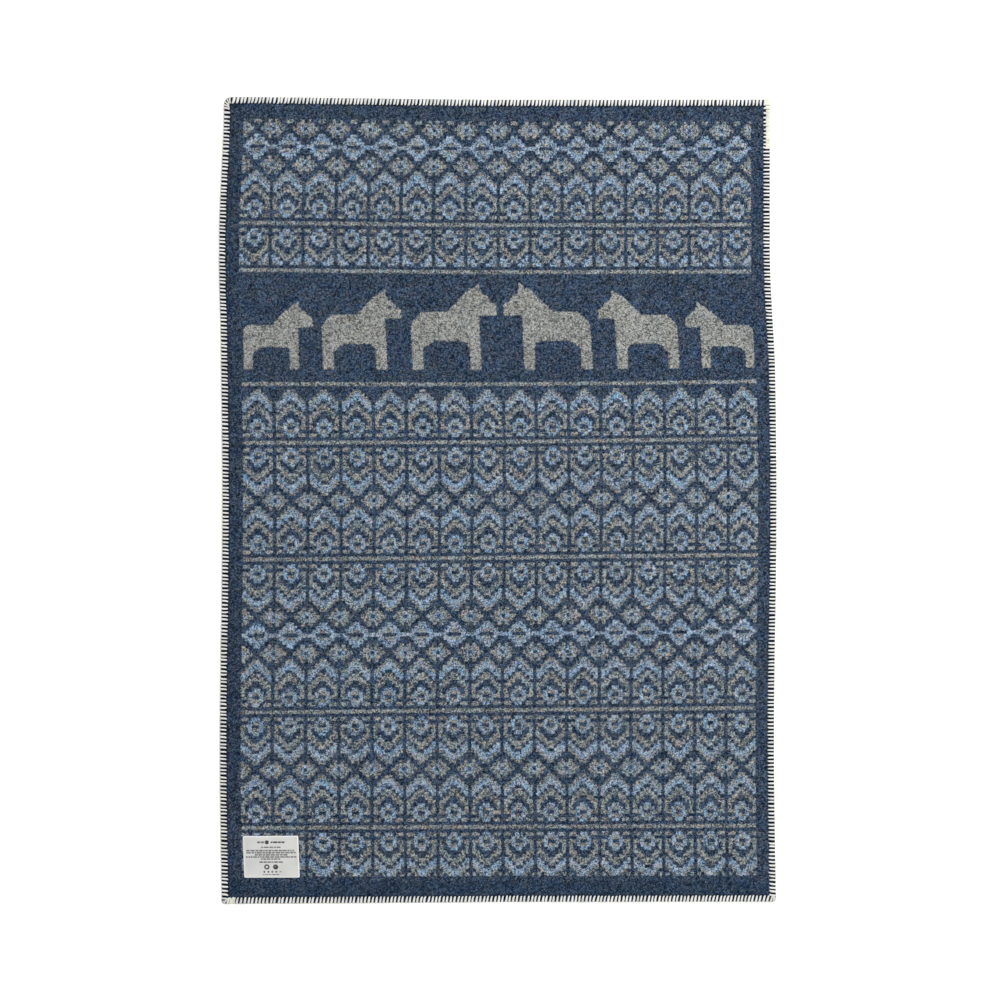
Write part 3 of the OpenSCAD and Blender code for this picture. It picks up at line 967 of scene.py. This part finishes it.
def number_pieces():
    """The draft with a number for each piece of pattern yarn, and the list of those pieces."""
    draft = np.kron(draw_bands(), np.ones((THREADS, THREADS), np.int8))
    numbers = np.zeros(draft.shape, np.int16)
    found = []
    rows = np.arange(len(draft))[:, None] // THREADS

    def number(where, *piece):
        """Numbers the threads of one more piece."""
        found.append(piece)
        numbers[where] = len(found)

    for i, (first, last) in enumerate(BAND_ROWS, start=1):
        band = (rows >= first) & (rows < last)
        number(band & (draft == BLUE), f"blue_yarn_{i}", blue_wool, (f"blue_band_{i}",), "blue_wool")
        number(band & (draft == GREY), f"grey_yarn_{i}", grey_wool, (f"grey_band_{i}",), "grey_wool")
    for i, row in enumerate(STRIPE_ROWS, start=1):
        number((rows == row) & (draft > 0), f"stripe_yarn_{i}", grey_wool, (f"stripe_{i}",), "grey_wool")
    for i in range(1, 7):
        number(horse_threads(i), f"horse_yarn_{i}", horse_wool, (f"horse_{i}",), "grey_wool")
    return numbers, found


NUMBERS, FOUND = number_pieces()
LATTICE, SHARE = lattice(NUMBERS)
OWNER = claim(np.pad(np.kron(NUMBERS, np.ones((FINE, FINE), np.int16)), MARGIN))
pattern = [floats(piece[0], i, *piece[1:]) for i, piece in enumerate(FOUND, start=1)]

# Each side's stitches: lean of the inner end in mm, length, how much wider they are over the edge,
# and the angles and lengths of the turns round the corner that ends the side
SIDES = {
    "right": (0.3, 0.98, 0.0, (20, 70), (0.7, 0.75)),
    "top": (2.2, 0.87, 0.45, (14, 38, 62, 84), (0.85, 0.8, 0.8, 0.85)),
    "left": (1.1, 0.88, 0.0, (25, 65), (0.75, 0.7)),
    "bottom": (2.9, 0.93, 0.25, (12, 45, 78), (0.8, 0.7, 0.8)),
}
CORNER_WIDEN = 0.7  # how wide the turns round a corner are
# How the lean changes towards a side's end, in mm, and over what distance
RIGHT_LEAN, RIGHT_REACH = 2.6, 50 * MM
TOP_LEAN = 0.8
BOTTOM_LEAN, BOTTOM_REACH = 1.5, 120 * MM


def side_lean(side, lean, anchors):
    """How far the turns of a side lean, which changes towards some of the corners."""
    x, y = anchors[:, 0], anchors[:, 1]
    if side == "right":
        return lean + RIGHT_LEAN * np.exp(-(y + HALF_L) / RIGHT_REACH)
    if side == "top":
        return lean - TOP_LEAN * x / HALF_W
    if side == "bottom":
        return lean + BOTTOM_LEAN * np.exp((x - HALF_W) / BOTTOM_REACH)
    return lean


def sew_side(turned, side, material):
    """One side's turns, with a fan of them round the corner that ends it."""
    lean, length, flare, fan, fan_lengths = SIDES[side]
    ways = edge_turns(turned, fan)
    straight = len(ways[0]) - len(fan)
    scale = np.append(np.full(straight, length), fan_lengths)
    widen = np.append(np.ones(straight), np.full(len(fan), CORNER_WIDEN))
    flares = np.append(np.full(straight, flare), np.zeros(len(fan)))
    lean = side_lean(side, lean, ways[0])
    return stitches(f"whipstitch_{side}", ways, material, (f"stitch_{side}",), lean, scale, 0, widen, flares)


def sew_doubled(material):
    """The yarn's end, sewn over once more between the turns below the upper right corner, and into it."""
    anchors, tangents, inwards = edge_turns(0)
    again = anchors[:, 1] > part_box("stitch_overlap")[0].y
    anchors = np.concatenate([anchors[again] + (0, PITCH / 2, 0), [(HALF_W, HALF_L - 0.5 * MM, 0)]])
    count = len(anchors)
    ways = (anchors, tangents[:count], inwards[:count])
    scale = np.full(count, 0.6)
    nodes = ("stitch_overlap",)
    return stitches("whipstitch_doubled", ways, material, nodes, lean=0.3, scale=scale, lift=0.45, widen=1.5)


STARTED = 2  # turns where the yarn begins, in the lower left corner


def sew_started(material):
    """The yarn's other end, sewn over itself in the lower left corner."""
    anchors, tangents, inwards = (way[:STARTED] for way in edge_turns(3))
    ways = (anchors + (PITCH / 2, 0, 0), tangents, inwards)
    scale = np.full(STARTED, 0.9)
    return stitches("whipstitch_start", ways, material, (), lean=1.5, scale=scale, lift=0.3, widen=0.9)


edge_pieces = [sew_side(turned, side, cream_yarn) for turned, side in enumerate(SIDES)]
edge_pieces.append(edge_cord("rim_strand", warm_yarn))
edge_pieces.append(sew_doubled(warm_yarn))
edge_pieces.append(sew_started(warm_yarn))

label_sheet = make_label(label_satin)
prints = make_print(label_ink, label_faint_ink)
thread = make_thread(sewing)

# ---- Floor, light and camera ----

FLOOR_HALF, FLOOR_Z = 30.0, -0.0003
floor_corners = [(x * FLOOR_HALF, y * FLOOR_HALF, FLOOR_Z) for x, y in ((-1, -1), (1, -1), (1, 1), (-1, 1))]
floor_mesh = bpy.data.meshes.new("floor")
floor_mesh.from_pydata(floor_corners, [], [(0, 1, 2, 3)])
floor_mesh.materials.append(floor_look())
floor = bpy.data.objects.new("floor", floor_mesh)
bpy.context.scene.collection.objects.link(floor)

world = bpy.data.worlds.new("studio")
world.use_nodes = True
background = world.node_tree.nodes["Background"]
background.inputs["Color"].default_value = (1, 1, 1, 1)
background.inputs["Strength"].default_value = 0.5
bpy.context.scene.world = world


def soft_light(name, place, size, power):
    """A large square lamp that faces the middle of the throw."""
    lamp = bpy.data.lights.new(name, "AREA")
    lamp.shape, lamp.size, lamp.energy = "SQUARE", size, power
    holder = bpy.data.objects.new(name, lamp)
    holder.location = place
    holder.rotation_euler = (-Vector(place)).to_track_quat("-Z", "Y").to_euler()
    bpy.context.scene.collection.objects.link(holder)


soft_light("key", place=(1.26, 0.82, 3.0), size=2.0, power=76)

VIEW_WIDTH = 1.633  # metres across the picture, at the throw
VIEW_MIDDLE = (0.0038, 0.0024)  # where the camera looks straight down
camera_data = bpy.data.cameras.new("camera")
camera_data.lens, camera_data.sensor_width = 85, 36
camera = bpy.data.objects.new("camera", camera_data)
camera.location = (*VIEW_MIDDLE, VIEW_WIDTH * camera_data.lens / camera_data.sensor_width)
camera_data.clip_end = 100
bpy.context.scene.collection.objects.link(camera)
bpy.context.scene.camera = camera
bpy.context.scene.view_settings.view_transform = "Standard"
